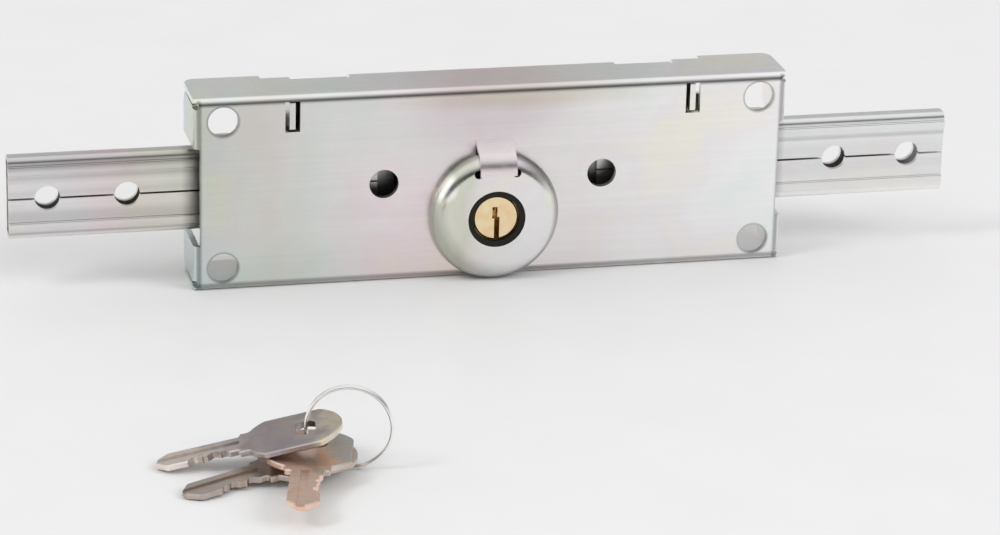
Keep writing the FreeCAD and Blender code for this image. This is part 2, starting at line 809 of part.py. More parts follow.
def guide(side):
    """Omega bracket round a bolt, with its feet flat on the cover."""
    low = guide_from
    high = guide_from + guide_length
    front = guide_inner_y - guide_sheet
    top = guide_z_high + guide_sheet
    bottom = guide_z_low - guide_sheet
    bridge = box(low, high, front, guide_inner_y, bottom, top)
    upper_leg = box(low, high, front, cover_front, guide_z_high, top)
    lower_leg = box(low, high, front, cover_front, bottom, guide_z_low)
    upper_foot = box(low, high, cover_front - guide_sheet, cover_front, guide_z_high, top + guide_foot)
    lower_foot = box(low, high, cover_front - guide_sheet, cover_front, bottom - guide_foot, guide_z_low)
    bracket = fuse([bridge, upper_leg, lower_leg, upper_foot, lower_foot])
    def on_bend(edge):
        ends = edge.Vertexes
        spans = abs(ends[0].X - ends[-1].X) > past
        return spans and all(abs(v.Y - front) < 1e-6 for v in ends)
    bracket = bracket.makeFillet(guide_bend_radius, edges_where(bracket, on_bend))
    holes = [rod(x, z, guide_rivet_radius, 0, far) for x, z in guide_rivet_places() if x > 0]
    return place_side(cut(bracket, holes), side)


def guide_rivet_places():
    x = guide_from + guide_length / 2
    upper = guide_z_high + guide_sheet + guide_foot / 2
    lower = guide_z_low - guide_sheet - guide_foot / 2
    return [(sign * x, z) for sign in (-1, 1) for z in (upper, lower)]


def guide_rivets():
    """Four rivets that hold the guides to the cover, with low round heads."""
    rivets = []
    for x, z in guide_rivet_places():
        inner = cover_front - guide_sheet - guide_rivet_head_height
        outer = cover_back + guide_rivet_head_height
        shank = rod(x, z, guide_rivet_radius, inner, outer)
        heads = [rod(x, z, guide_rivet_head_radius, inner, inner + guide_rivet_head_height),
                 rod(x, z, guide_rivet_head_radius, cover_back, outer)]
        rivets.append(fuse([shank] + heads))
    return Part.makeCompound(rivets)


def key_blank():
    """Key lying flat, blade along +X, centred on the slot that the ring passes through."""
    half = key_thickness / 2
    bow_centre = key_bow_length / 2 - key_slot_from_end
    blade_start = key_bow_length - key_slot_from_end
    tip = blade_start + key_blade_length
    bow = Part.makeCylinder(key_bow_length / 2, key_thickness, Vector(bow_centre, 0, -half))
    bow = bow.common(Part.makeBox(2 * key_bow_length, key_bow_width, key_thickness,
                                  Vector(-key_bow_length, -key_bow_width / 2, -half)))
    wide = key_blade_width / 2
    shoulder_wide = wide + key_shoulder_step
    shoulder = Part.makeBox(key_shoulder_length, 2 * shoulder_wide, key_thickness,
                            Vector(blade_start - key_shoulder_overlap, -shoulder_wide, -half))
    blade = Part.makeBox(key_blade_length + key_shoulder_overlap, key_blade_width, key_thickness,
                         Vector(blade_start - key_shoulder_overlap, -wide, -half))
    blank = fuse([bow, shoulder, blade])
    nose = Part.makeBox(key_blade_width, key_blade_width, 2 * key_thickness, Vector(0, 0, -key_thickness))
    nose.rotate(Vector(0, 0, 0), Vector(0, 0, 1), -45)
    upper_nose = nose.copy()
    upper_nose.translate(Vector(tip - wide + key_nose_flat, wide + key_nose_side, 0))
    lower_nose = upper_nose.mirror(Vector(0, 0, 0), Vector(0, 1, 0))
    blank = cut(blank, [upper_nose, lower_nose])
    outline = edges_where(blank, lambda e: all(abs(abs(v.Z) - half) < 1e-6 for v in e.Vertexes))
    blank = blank.makeChamfer(key_edge_chamfer, outline)
    groove = Part.makeBox(far, key_groove_width, key_thickness,
                          Vector(blade_start + past, -key_groove_low, half - key_groove_depth))
    return cut(blank, [slot_tool(), groove])


def slot_tool():
    straight = key_slot_length - key_slot_width
    round_end = key_slot_width / 2
    tall = 2 * key_thickness
    middle = Part.makeBox(key_slot_width, straight, tall, Vector(-round_end, -straight / 2, -key_thickness))
    ends = [Part.makeCylinder(round_end, tall, Vector(0, y, -key_thickness))
            for y in (-straight / 2, straight / 2)]
    return fuse([middle] + ends)


def cut_key(depths):
    """Key with one notch for each pin along its upper edge."""
    key = key_blank()
    start = key_bow_length - key_slot_from_end + key_cut_first
    half = key_cut_floor / 2
    for index, depth in enumerate(depths):
        x = start + index * key_cut_pitch
        floor = key_blade_width / 2 - depth
        rise = depth + past
        corners = [Vector(x - half, floor, -key_thickness), Vector(x + half, floor, -key_thickness),
                   Vector(x + half + rise, floor + rise, -key_thickness),
                   Vector(x - half - rise, floor + rise, -key_thickness)]
        face = Part.Face(Part.makePolygon(corners + corners[:1]))
        key = key.cut(face.extrude(Vector(0, 0, 2 * key_thickness)))
    return key


def ring_point(height):
    """Place on the left half of the ring's wire at a height above the floor."""
    drop = key_ring_radius + key_ring_wire - height
    side = -sqrt(key_ring_radius ** 2 - drop ** 2)
    turn = radians(key_ring_turn)
    return Vector(key_ring_x + side * cos(turn), key_ring_y + side * sin(turn), floor_height + height)


def place_key(key, height, heading, tip_height):
    """Hang the key's slot on the ring at a height, with its tip at another."""
    reach = key_bow_length - key_slot_from_end + key_blade_length
    pitch = degrees(asin((height - tip_height) / reach))
    key.rotate(Vector(0, 0, 0), Vector(0, 1, 0), pitch)
    key.rotate(Vector(0, 0, 0), Vector(0, 0, 1), heading)
    key.translate(ring_point(height))
    return key


def key_ring():
    """Split ring of round wire, two turns side by side, standing on the floor."""
    centre = Vector(key_ring_x, key_ring_y, floor_height + key_ring_radius + key_ring_wire)
    normal = Vector(sin(radians(-key_ring_turn)), cos(radians(-key_ring_turn)), 0)
    turns = []
    for side in (-1, 1):
        shift = Vector(normal)
        shift.multiply(side * (key_ring_wire - key_ring_turns_overlap / 2))
        turns.append(Part.makeTorus(key_ring_radius, key_ring_wire, centre.add(shift), normal))
    return fuse(turns)


save("front_case", front_case())
save("back_cover", back_cover())
save("cylinder_guard", cylinder_guard())
save("dust_ring", dust_ring())
save("cylinder_body", cylinder_body())
save("cylinder_screws", cylinder_screws())
save("driver_pins", driver_pins())
save("pin_springs", pin_springs())
save("tail_bush", tail_bush())
save("left_guide", guide(-1))
save("right_guide", guide(1))
save("guide_rivets", guide_rivets())
save("plug", plug())
save("plug_clip", plug_clip())
save("key_pins", key_pins())
save("pinion_shaft", pinion_shaft())
save("tail_clip", tail_clip())
save("left_bolt", bolt(-1))
save("left_rack", left_rack())
save("left_rack_rivets", rack_rivets(-1))
save("right_bolt", bolt(1))
save("right_rack", right_rack())
save("right_rack_rivets", rack_rivets(1))
save("key_ring", key_ring())
# Keys A and B rest with their tips on the floor, and key C lies level across the bow of key B
on_floor = key_thickness / 2 + key_floor_gap
save("key_a", place_key(cut_key(key_a_cuts), key_a_height, key_a_heading, on_floor))
save("key_b", place_key(cut_key(key_b_cuts), key_b_height, key_b_heading, on_floor))
save("key_c", place_key(cut_key(key_c_cuts), key_c_height, key_c_heading, key_c_height))
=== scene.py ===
import json
from math import cos, radians, sin

import bpy
from mathutils import Matrix, Vector


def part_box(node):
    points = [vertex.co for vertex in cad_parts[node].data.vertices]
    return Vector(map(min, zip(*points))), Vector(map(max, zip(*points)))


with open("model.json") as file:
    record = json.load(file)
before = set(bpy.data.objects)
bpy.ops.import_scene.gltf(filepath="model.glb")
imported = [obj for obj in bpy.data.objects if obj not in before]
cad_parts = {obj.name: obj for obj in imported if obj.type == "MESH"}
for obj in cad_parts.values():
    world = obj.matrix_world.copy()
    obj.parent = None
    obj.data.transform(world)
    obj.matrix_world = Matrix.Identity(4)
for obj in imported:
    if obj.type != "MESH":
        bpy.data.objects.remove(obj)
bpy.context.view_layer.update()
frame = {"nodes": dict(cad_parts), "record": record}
mm = 0.001

# Case: a face plate with four folded walls, pressed in one piece from cold-rolled steel sheet
# and barrel-plated in bright zinc. The plating's blue passivation has faint clouds of pink,
# straw and sea-green, and the lines of the rolling mill show through it.


def linear(hex_colour):
    """sRGB hex colour as linear red, green, blue and alpha, by the standard's own curve."""
    shares = [int(hex_colour[i:i + 2], 16) / 255 for i in (1, 3, 5)]
    return [s / 12.92 if s <= 0.04045 else ((s + 0.055) / 1.055) ** 2.4 for s in shares] + [1.0]


def add(tree, kind, settings=None, **inputs):
    """A shader node with its settings; an input is a value or another node's output."""
    made = tree.nodes.new(kind)
    for name, value in (settings or {}).items():
        setattr(made, name, value)
    for name, value in inputs.items():
        numbered = name[1:].isdigit()
        socket = made.inputs[int(name[1:])] if numbered else made.inputs[name.replace("_", " ")]
        if isinstance(value, bpy.types.NodeSocket):
            tree.links.new(value, socket)
        else:
            socket.default_value = value
    return made


def set_ramp(ramp, stops):
    """Colours at places along a ramp."""
    elements = ramp.color_ramp.elements
    while len(elements) < len(stops):
        elements.new(0.5)
    for element, (place, colour) in zip(elements, stops):
        element.position = place
        element.color = linear(colour)


def blank_material(name):
    """New material with only its shader and output."""
    material = bpy.data.materials.new(name)
    material.use_nodes = True
    tree = material.node_tree
    tree.nodes.clear()
    shader = tree.nodes.new("ShaderNodeBsdfPrincipled")
    output = tree.nodes.new("ShaderNodeOutputMaterial")
    tree.links.new(shader.outputs[0], output.inputs[0])
    return material, tree, shader


band_reach = 125
band_wander = 24
bloom_size = 1.4
gloss_spread = 0.04
noise_low, noise_high = 0.3, 0.7
zinc_clouds = [(0.36, "#f8fefc"), (0.48, "#ffffff"), (0.56, "#fefafc"), (0.66, "#fffdf3")]


def plated(name, bands, roughness, line_pitch, line_depth, line_length=60, relief=0.03, cloud_size=30,
           clouds=zinc_clouds):
    """Plated metal: broad bands of colour across the lock, clouds and long fine lines, in mm.

    The crystal bloom that makes the gloss uneven is about 0.3 mm and is drawn at 1.4 mm to show.
    """
    material, tree, shader = blank_material(name)
    place = add(tree, "ShaderNodeTexCoord").outputs["Object"]
    cloud = add(tree, "ShaderNodeTexNoise", Vector=place, Scale=1 / (cloud_size * mm), Detail=3.0)
    across_lock = add(tree, "ShaderNodeSeparateXYZ", Vector=place)
    wander = add(tree, "ShaderNodeMath", {"operation": "MULTIPLY_ADD"}, _0=cloud.outputs["Fac"],
                 _1=band_wander * mm, _2=across_lock.outputs["X"])
    spot = add(tree, "ShaderNodeMapRange", Value=wander.outputs[0],
               From_Min=-band_reach * mm + band_wander * mm / 2,
               From_Max=band_reach * mm + band_wander * mm / 2)
    band = add(tree, "ShaderNodeValToRGB", Fac=spot.outputs[0])
    set_ramp(band, [((x / band_reach + 1) / 2, colour) for x, colour in bands])
    hue = add(tree, "ShaderNodeValToRGB", Fac=cloud.outputs["Fac"])
    set_ramp(hue, clouds)
    stretched = add(tree, "ShaderNodeMapping", Vector=place,
                    Scale=(1 / (line_length * mm), 1 / (line_pitch * mm), 1 / (line_pitch * mm)))
    lines = add(tree, "ShaderNodeTexNoise", Vector=stretched.outputs[0], Scale=1.0, Detail=2.0)
    line_shade = add(tree, "ShaderNodeMapRange", Value=lines.outputs["Fac"], From_Min=noise_low,
                     From_Max=noise_high, To_Min=1 - line_depth)
    tinted = add(tree, "ShaderNodeVectorMath", {"operation": "MULTIPLY"},
                 _0=band.outputs["Color"], _1=hue.outputs["Color"])
    colour = add(tree, "ShaderNodeVectorMath", {"operation": "SCALE"},
                 _0=tinted.outputs[0], Scale=line_shade.outputs[0])
    bloom = add(tree, "ShaderNodeTexNoise", Vector=place, Scale=1 / (bloom_size * mm), Detail=2.0)
    rough = add(tree, "ShaderNodeMapRange", Value=bloom.outputs["Fac"], From_Min=noise_low,
                From_Max=noise_high, To_Min=roughness - gloss_spread, To_Max=roughness + gloss_spread)
    bump = add(tree, "ShaderNodeBump", Height=lines.outputs["Fac"], Strength=0.15, Distance=relief * mm)
    shader.inputs["Metallic"].default_value = 1.0
    tree.links.new(colour.outputs[0], shader.inputs["Base Color"])
    tree.links.new(rough.outputs[0], shader.inputs["Roughness"])
    tree.links.new(bump.outputs[0], shader.inputs["Normal"])
    return material


def measure(material, centre, axes, mirrored):
    """A material's tree, its colour socket, and the distance of each place from a point or line."""
    tree = material.node_tree
    base = next(node for node in tree.nodes if node.type == "BSDF_PRINCIPLED").inputs["Base Color"]
    place = add(tree, "ShaderNodeTexCoord").outputs["Object"]
    if mirrored:
        place = add(tree, "ShaderNodeVectorMath", {"operation": "ABSOLUTE"}, _0=place).outputs[0]
    offset = add(tree, "ShaderNodeVectorMath", {"operation": "SUBTRACT"}, _0=place,
                 _1=[c * mm for c in centre])
    along_axes = add(tree, "ShaderNodeVectorMath", {"operation": "MULTIPLY"}, _0=offset.outputs[0], _1=axes)
    distance = add(tree, "ShaderNodeVectorMath", {"operation": "LENGTH"}, _0=along_axes.outputs[0])
    return tree, base, distance.outputs["Value"]


def shade(material, centre, axes, near, far, near_shade=1.0, far_shade=1.0, mirrored=False):
    """Lighten or darken a material by the distance in mm from a point or line."""
    tree, base, distance = measure(material, centre, axes, mirrored)
    share = add(tree, "ShaderNodeMapRange", Value=distance, From_Min=near * mm, From_Max=far * mm,
                To_Min=near_shade, To_Max=far_shade)
    shaded = add(tree, "ShaderNodeVectorMath", {"operation": "SCALE"}, _0=base.links[0].from_socket,
                 Scale=share.outputs[0])
    tree.links.new(shaded.outputs[0], base)


def tint(material, centre, axes, near, far, colour):
    """Colour a material near a point or line, fading out between two distances in mm."""
    tree, base, distance = measure(material, centre, axes, mirrored=False)
    share = add(tree, "ShaderNodeMapRange", {"interpolation_type": "SMOOTHSTEP"}, Value=distance,
                From_Min=near * mm, From_Max=far * mm)
    film = add(tree, "ShaderNodeMix", {"data_type": "RGBA"}, _0=share.outputs[0],
               _6=linear(colour), _7=linear("#ffffff"))
    tinted = add(tree, "ShaderNodeVectorMath", {"operation": "MULTIPLY"},
                 _0=base.links[0].from_socket, _1=film.outputs["Result"])
    tree.links.new(tinted.outputs[0], base)


inside_shade = 0.4
inside_fade = 0.3
turned_from, turned_fully = 0.5, 0.7


def paint_inside_shade(material, inward, depth):
    """Painted shade: darken what faces into the case, deeper than a distance in mm behind the face plate.
    """
    tree, base, distance = measure(material, centre=(0, 0, 0), axes=(0, 1, 0), mirrored=False)
    normal = add(tree, "ShaderNodeNewGeometry").outputs["Normal"]
    facing = add(tree, "ShaderNodeVectorMath", {"operation": "DOT_PRODUCT"}, _0=normal, _1=inward)
    turned_in = add(tree, "ShaderNodeMapRange", Value=facing.outputs["Value"], From_Min=turned_from,
                    From_Max=turned_fully)
    deep = add(tree, "ShaderNodeMapRange", Value=distance, From_Min=depth * mm,
               From_Max=(depth + inside_fade) * mm)
    inside = add(tree, "ShaderNodeMath", {"operation": "MULTIPLY"}, _0=turned_in.outputs[0],
                 _1=deep.outputs[0])
    share = add(tree, "ShaderNodeMapRange", Value=inside.outputs[0], To_Min=1.0, To_Max=inside_shade)
    dimmed = add(tree, "ShaderNodeVectorMath", {"operation": "SCALE"}, _0=base.links[0].from_socket,
                 Scale=share.outputs[0])
    tree.links.new(dimmed.outputs[0], base)


def dress(node, material):
    """Give a CAD node its material."""
    slots = frame["nodes"][node].data.materials
    slots.clear()
    slots.append(material)


# Bright zinc on rolled sheet gives the eye a satin grey with soft mirror light in it, bluish at
# the left end and rosy in the middle. The bands also grow lighter from the left end to white at
# the right end, a painted gradient of light. The mill's lines are about 0.1 mm apart, too fine
# to show, so they are drawn 1.1 mm apart.
case_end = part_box("front_case")[1].x / mm
case_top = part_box("front_case")[1].z / mm
sheet_zinc = plated(
    "bright_zinc_on_rolled_sheet",
    bands=[(-78, "#d6e1e1"), (-66, "#dfe1dc"), (-58, "#e1dfd9"), (-45, "#e6e7e5"), (-28, "#f1e8ea"),
           (-5, "#f4e9eb"), (22, "#f3efef"), (42, "#f8f8f7"), (case_end, "#ffffff")],
    roughness=0.33, line_pitch=1.1, line_depth=0.04)

# Painted shade: a dark ring round the rims of the fixing holes and a dark line along the folds of the
# walls.
fixing = next(mount for mount in frame["record"]["mounts"] if mount["name"] == "case_fixing")["dims"]
fixing_end = fixing["spacing_x_mm"] / 2
fixing_top = fixing["spacing_y_mm"] / 2
fixing_radius = fixing["hole_r_mm"]
rim_shade = 0.54
shade(sheet_zinc, centre=(fixing_end, 0, fixing_top), axes=(1, 0, 1), near=fixing_radius + 0.1,
      far=fixing_radius + 0.6, near_shade=rim_shade, mirrored=True)
fold_inset = 1.3
fold_back = 0.1
fold_painted_shade = 0.5
for fold, across_fold in (((0, fold_back, case_top - fold_inset), (0, 1, 1)),
                          ((case_end - fold_inset, fold_back, 0), (1, 1, 0))):
    shade(sheet_zinc, fold, across_fold, near=0.3, far=1.0, near_shade=fold_painted_shade, mirrored=True)

# Painted light: the top wall is lightened towards its left end. A straw-coloured film runs under
# the top fold, over a wider patch that is a little greyer.
only_near_top = 25
top_wall_painted_light = 1.3
shade(sheet_zinc, centre=(-case_end, 0, case_top), axes=(1, 0, only_near_top), near=6, far=60,
      near_shade=top_wall_painted_light)
film_height, patch_height = 22.6, 18
tint(sheet_zinc, centre=(6, 0, film_height), axes=(0.1, 0, 1), near=0.8, far=4.5, colour="#eeece0")
tint(sheet_zinc, centre=(-2, 0, patch_height), axes=(0.4, 0, 1), near=2, far=12, colour="#eeeff0")

# Painted shade darkens the faces that look into the case.
case_zinc = sheet_zinc.copy()
case_zinc.name = "bright_zinc_on_rolled_sheet_case"
paint_inside_shade(case_zinc, inward=(0, 1, 0), depth=1.0)
dress("front_case", case_zinc)

# Back cover and bolt guides: a shallow cover with hooks, lugs and pressed beads, and two omega
# brackets, all of the same plated sheet. Zinc-plated steel rivets hold the brackets.
cover_zinc = sheet_zinc.copy()
cover_zinc.name = "bright_zinc_on_rolled_sheet_cover"
# Painted shade darkens the cover's face that looks into the case.
paint_inside_shade(cover_zinc, inward=(0, -1, 0), depth=2.5)
dress("back_cover", cover_zinc)
dress("left_guide", sheet_zinc)
dress("right_guide", sheet_zinc)

# Zinc on turned steel gives the eye a plain mid grey with fine marks of the lathe. They are under
# 0.1 mm apart and are drawn as straight lines 0.3 mm apart.
fastener_steel = plated(
    "zinc_on_turned_steel", bands=[(-50, "#c9cbca"), (50, "#d6d6d3")],
    roughness=0.33, line_pitch=0.3, line_depth=0.08)
for fastener in ("guide_rivets", "cylinder_screws", "left_rack_rivets", "right_rack_rivets"):
    dress(fastener, fastener_steel)

# Bolts: flat boxes folded from narrow steel strip with a seam along the front, plated after
# folding. They run on the cover's beads and are riveted to the racks.


def rib_light_and_shade(material, marks, reach):
    """Painted light and shade: lengthwise light and dark streaks at heights in mm, on the ribs and grooves.
    """
    tree, base, height = measure(material, centre=(0, 0, -reach), axes=(0, 0, 1), mirrored=False)
    spot = add(tree, "ShaderNodeMapRange", Value=height, From_Max=2 * reach * mm)
    mark = add(tree, "ShaderNodeValToRGB", Fac=spot.outputs[0])
    set_ramp(mark, [((z / reach + 1) / 2, colour) for z, colour in marks])
    marked = add(tree, "ShaderNodeVectorMath", {"operation": "MULTIPLY"},
                 _0=base.links[0].from_socket, _1=mark.outputs["Color"])
    tree.links.new(marked.outputs[0], base)


# Bright zinc on drawn strip gives the eye long streaks. Painted light and shade runs lengthwise on
# the bolts, light on the flats and dark along the ribs, stronger on the left bolt than on the right
# one. The drawing lines are 0.1 to 0.3 mm apart and are drawn 2.6 mm apart. A painted shadow of the
# slot's edge lies across each bolt where it enters the case, and it fades out inside the case.
painted_streak_half_height = 12
slot_shadow_share = 0.6
slot_shadow_reach = 2.2
shadow_fade_share = 1.5
shadow_fade_depth = 10
strip_clouds = [(0.36, "#fbfffe"), (0.48, "#ffffff"), (0.56, "#fffcfd"), (0.66, "#fffefa")]
left_bolt_painted_streaks = [(-11.2, "#f2f2f2"), (-10.3, "#f4f4f4"), (-9.7, "#c4c4c4"), (-9.2, "#f0f0f0"),
              (-7.6, "#ffffff"), (-6.0, "#e6e6e6"), (-4.4, "#eaeaea"), (-1.6, "#ffffff"),
              (1.2, "#f0f0f0"), (3.2, "#ffffff"), (4.9, "#e0e0e0"), (6.6, "#f8f8f8"),
              (7.8, "#cccccc"), (9.2, "#d2d2d2"), (10.2, "#f4f4f4")]
right_bolt_painted_streaks = [(-11.2, "#ffffff"), (-6.6, "#ffffff"), (-5.0, "#fbfbfb"), (-2.0, "#fbfbfb"),
               (1.5, "#fafafa"), (4.2, "#ffffff"), (5.0, "#dcdcdc"), (5.8, "#fafafa"),
               (8.2, "#ffffff"), (9.0, "#ececec"), (10.2, "#ffffff")]
for bolt, line_depth, marks in (("left_bolt", 0.2, left_bolt_painted_streaks), ("right_bolt", 0.1, right_bolt_painted_streaks)):
    strip_zinc = plated(
        f"bright_zinc_on_drawn_strip_{bolt}",
        bands=[(-123, "#f8f8f8"), (-108, "#f8f6f7"), (-98, "#fcf1f3"), (-88, "#f6f3ea"), (80, "#f5f5f4"),
               (123, "#f7f7f7")],
        roughness=0.33, line_pitch=2.6, line_depth=line_depth, line_length=220, relief=0.3,
        cloud_size=20, clouds=strip_clouds)
    rib_light_and_shade(strip_zinc, marks, painted_streak_half_height)
    # Painted shadow of the slot's edge across the bolt, fading out inside the case.
    shade(strip_zinc, centre=(0, 0, 0), axes=(1, 0, 0), near=case_end - 0.3,
          far=case_end + slot_shadow_reach, near_shade=slot_shadow_share)
    shade(strip_zinc, centre=(0, 0, 0), axes=(1, 0, 0), near=case_end - shadow_fade_depth,
          far=case_end - 1.5, near_shade=shadow_fade_share)
    dress(bolt, strip_zinc)

# Racks, pinion, clips and springs: milled carbon steel under a thin film of oil, and bright
# drawn spring wire. They sit inside the case and show only through its holes.


tool_polish = 0.03


def bare_metal(name, colour, roughness, grit, relief=0.03):
    """Machined or drawn metal: an even tone with tool marks of a size in mm."""
    material, tree, shader = blank_material(name)
    place = add(tree, "ShaderNodeTexCoord").outputs["Object"]
    marks = add(tree, "ShaderNodeTexNoise", Vector=place, Scale=1 / (grit * mm), Detail=3.0)
    tone = add(tree, "ShaderNodeValToRGB", Fac=marks.outputs["Fac"])
    set_ramp(tone, colour)
    rough = add(tree, "ShaderNodeMapRange", Value=marks.outputs["Fac"], From_Min=noise_low,
                From_Max=noise_high, To_Min=roughness - tool_polish, To_Max=roughness + gloss_spread)
    bump = add(tree, "ShaderNodeBump", Height=marks.outputs["Fac"], Strength=0.2, Distance=relief * mm)
    shader.inputs["Metallic"].default_value = 1.0
    tree.links.new(tone.outputs["Color"], shader.inputs["Base Color"])
    tree.links.new(rough.outputs[0], shader.inputs["Roughness"])
    tree.links.new(bump.outputs[0], shader.inputs["Normal"])
    return material


# Oiled milled steel is a dark, soft grey; spring wire is paler and glossier. Cutter marks and
# die lines are under 0.1 mm and are drawn at 0.4 and 0.3 mm.
gear_steel = bare_metal("oiled_milled_steel", [(0.3, "#9a9c9d"), (0.7, "#b4b5b4")],
                        roughness=0.34, grit=0.4)
spring_steel = bare_metal("bright_drawn_spring_steel", [(0.3, "#a6a8aa"), (0.7, "#c2c3c4")],
                          roughness=0.24, grit=0.3)
for piece in ("left_rack", "right_rack", "pinion_shaft"):
    dress(piece, gear_steel)
for piece in ("pin_springs", "plug_clip", "tail_clip"):
    dress(piece, spring_steel)

# Lock cylinder: barrel, pins and plug are turned from free-cutting brass, and the bush behind
# them is pressed from sintered bronze. Two screws behind the guard hold the barrel.

# Machined brass gives the eye a soft gold and sintered bronze a dull brown. Their turning marks
# and pores are under 0.1 mm and are drawn at 0.5 and 0.3 mm. The plug's polished face is a pale
# gold with warmer blots of tarnish about 3 mm across.
barrel_brass = bare_metal("machined_brass", [(0.3, "#c39a4a"), (0.7, "#d8b565")],
                          roughness=0.32, grit=0.5)
plug_brass = bare_metal("polished_brass", [(0.35, "#f6d2a4"), (0.65, "#f6e8c0")],
                        roughness=0.2, grit=3)
bush_bronze = bare_metal("sintered_bronze", [(0.3, "#a07a45"), (0.7, "#b99158")],
                         roughness=0.45, grit=0.3)
for piece in ("cylinder_body", "driver_pins", "key_pins"):
    dress(piece, barrel_brass)
dress("plug", plug_brass)
dress("tail_bush", bush_bronze)

# Guard: a hard steel cup, deep-drawn and zinc-plated, that covers the cylinder. Its legs pass
# through the face plate, and the plate's tongue is pressed over its rim.

# Bright zinc on hard steel is smoother and glossier than on the sheet, with a green cast on the
# left. Painted shade darkens the drawn bend at the right rim and on the lower left, and a painted
# highlight lightens the rim at the upper left. Drawing lines are under 0.1 mm and are drawn 1 mm apart.
guard_zinc = plated(
    "bright_zinc_on_hard_steel",
    bands=[(-16, "#e6e6da"), (-9, "#dcdcce"), (-3, "#edebe9"), (8, "#f1eef0"), (16, "#eef1ec")],
    roughness=0.21, line_pitch=1.0, line_depth=0.02, cloud_size=12)
guard_low, guard_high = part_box("cylinder_guard")
guard_height = (guard_low.z + guard_high.z) / 2 / mm
right_rim_painted_shade, lower_left_painted_shade, upper_left_painted_highlight = 0.42, 0.66, 1.75
# Painted shade round the right rim and on the lower left, and a painted highlight at the upper left.
shade(guard_zinc, centre=(-1.2, 0, guard_height), axes=(1, 0, 1), near=15.8, far=17.8,
      far_shade=right_rim_painted_shade)
shade(guard_zinc, centre=(2.6, 0, guard_height + 3.1), axes=(1, 0, 1), near=15.2, far=18.4,
      far_shade=lower_left_painted_shade)
shade(guard_zinc, centre=(-14.8, 0, guard_height + 9.3), axes=(1, 0, 1), near=2.5, far=5,
      near_shade=upper_left_painted_highlight)
dress("cylinder_guard", guard_zinc)

# Dust ring: a ring moulded in black nylon. It sits in the guard's hole round the plug and keeps
# dust away from the pins.

# Moulded nylon is a warm, nearly black brown with a soft gloss. Its mould grain is about 0.1 mm
# and is drawn at 0.5 mm.
nylon, nylon_tree, nylon_shader = blank_material("moulded_black_nylon")
nylon_grain_size = 0.5
nylon_place = add(nylon_tree, "ShaderNodeTexCoord").outputs["Object"]
nylon_grain = add(nylon_tree, "ShaderNodeTexNoise", Vector=nylon_place, Scale=1 / (nylon_grain_size * mm),
                  Detail=2.0)
nylon_tone = add(nylon_tree, "ShaderNodeValToRGB", Fac=nylon_grain.outputs["Fac"])
set_ramp(nylon_tone, [(0.3, "#100d08"), (0.7, "#1c1810")])
nylon_bump = add(nylon_tree, "ShaderNodeBump", Height=nylon_grain.outputs["Fac"], Strength=0.2,
                 Distance=0.03 * mm)
nylon_shader.inputs["Roughness"].default_value = 0.5
nylon_shader.inputs["Specular IOR Level"].default_value = 0.3
nylon_tree.links.new(nylon_tone.outputs["Color"], nylon_shader.inputs["Base Color"])
nylon_tree.links.new(nylon_bump.outputs[0], nylon_shader.inputs["Normal"])
dress("dust_ring", nylon)

# Keys and ring: three keys stamped from brass sheet and nickel-plated, lying loose on a split
# ring of nickel-plated spring wire.

# Worn nickel gives the eye a warm grey, violet on the shaded bow of the top key and brown on the
# lowest one. The key between them is rubbed down to its copper undercoat. Scratches from the
# pocket are under 0.1 mm wide and are drawn 0.5 mm apart.
nickel_clouds = [(0.35, "#f5f4f8"), (0.5, "#ffffff"), (0.65, "#fdf7ec")]
copper_clouds = [(0.35, "#fdeee4"), (0.5, "#ffffff"), (0.65, "#f6f4ee")]
key_finishes = {
    "key_a": plated(
        "worn_nickel_on_brass",
        bands=[(-104, "#fbf0ea"), (-95, "#fbf2ea"), (-88, "#d9d0cc"), (-79, "#bdb1b5"), (-71, "#ccc2bd"),
               (-64, "#efe6d6")],
        roughness=0.34, line_pitch=0.5, line_depth=0.08, line_length=9, cloud_size=5, clouds=nickel_clouds),
    "key_b": plated(
        "dull_nickel_on_brass",
        bands=[(-100, "#c6bbb5"), (-85, "#c8bcb2"), (-72, "#cfc6bc"), (-60, "#d8d0c6")],
        roughness=0.36, line_pitch=0.5, line_depth=0.1, line_length=9, cloud_size=5, clouds=nickel_clouds),
    "key_c": plated(
        "nickel_worn_to_copper",
        bands=[(-80, "#f8dac8"), (-70, "#f2d8c8"), (-65, "#d2cbc6"), (-59, "#d0cbc6")],
        roughness=0.34, line_pitch=0.5, line_depth=0.08, line_length=9, cloud_size=5, clouds=copper_clouds),
}
for key, finish in key_finishes.items():
    dress(key, finish)

# Bright nickel on wire is nearly white with mirror glints. Its few marks are under 0.1 mm and
# are drawn at 0.8 mm.
ring_nickel = bare_metal("bright_nickel_wire", [(0.3, "#f2f2f0"), (0.7, "#fcfcfa")],
                         roughness=0.2, grit=0.8)
dress("key_ring", ring_nickel)

# Floor: a plain pale board with a satin coat, level with the lock's lower edge. The lock stands
# on it and the keys lie on it.

# The coat gives the eye a faint mirror image, as faint from low down as from above, and hardly
# any clouds, about 30 mm across.
floor_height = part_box("front_case")[0].z
floor_size = 8.0
floor_cloud_size = 30
floor_gloss = 0.05
bpy.ops.object.select_all(action="DESELECT")
bpy.ops.mesh.primitive_plane_add(size=floor_size, location=(0, 0, floor_height))
floor = bpy.context.object
floor.name = "floor"
floor_material, floor_tree, floor_shader = blank_material("satin_white_board")
floor_place = add(floor_tree, "ShaderNodeTexCoord").outputs["Object"]
floor_cloud = add(floor_tree, "ShaderNodeTexNoise", Vector=floor_place, Scale=1 / (floor_cloud_size * mm),
                  Detail=2.0)
floor_tone = add(floor_tree, "ShaderNodeValToRGB", Fac=floor_cloud.outputs["Fac"])
set_ramp(floor_tone, [(0.3, "#dfdfdf"), (0.7, "#e1e1e1")])
floor_tree.links.new(floor_tone.outputs["Color"], floor_shader.inputs["Base Color"])
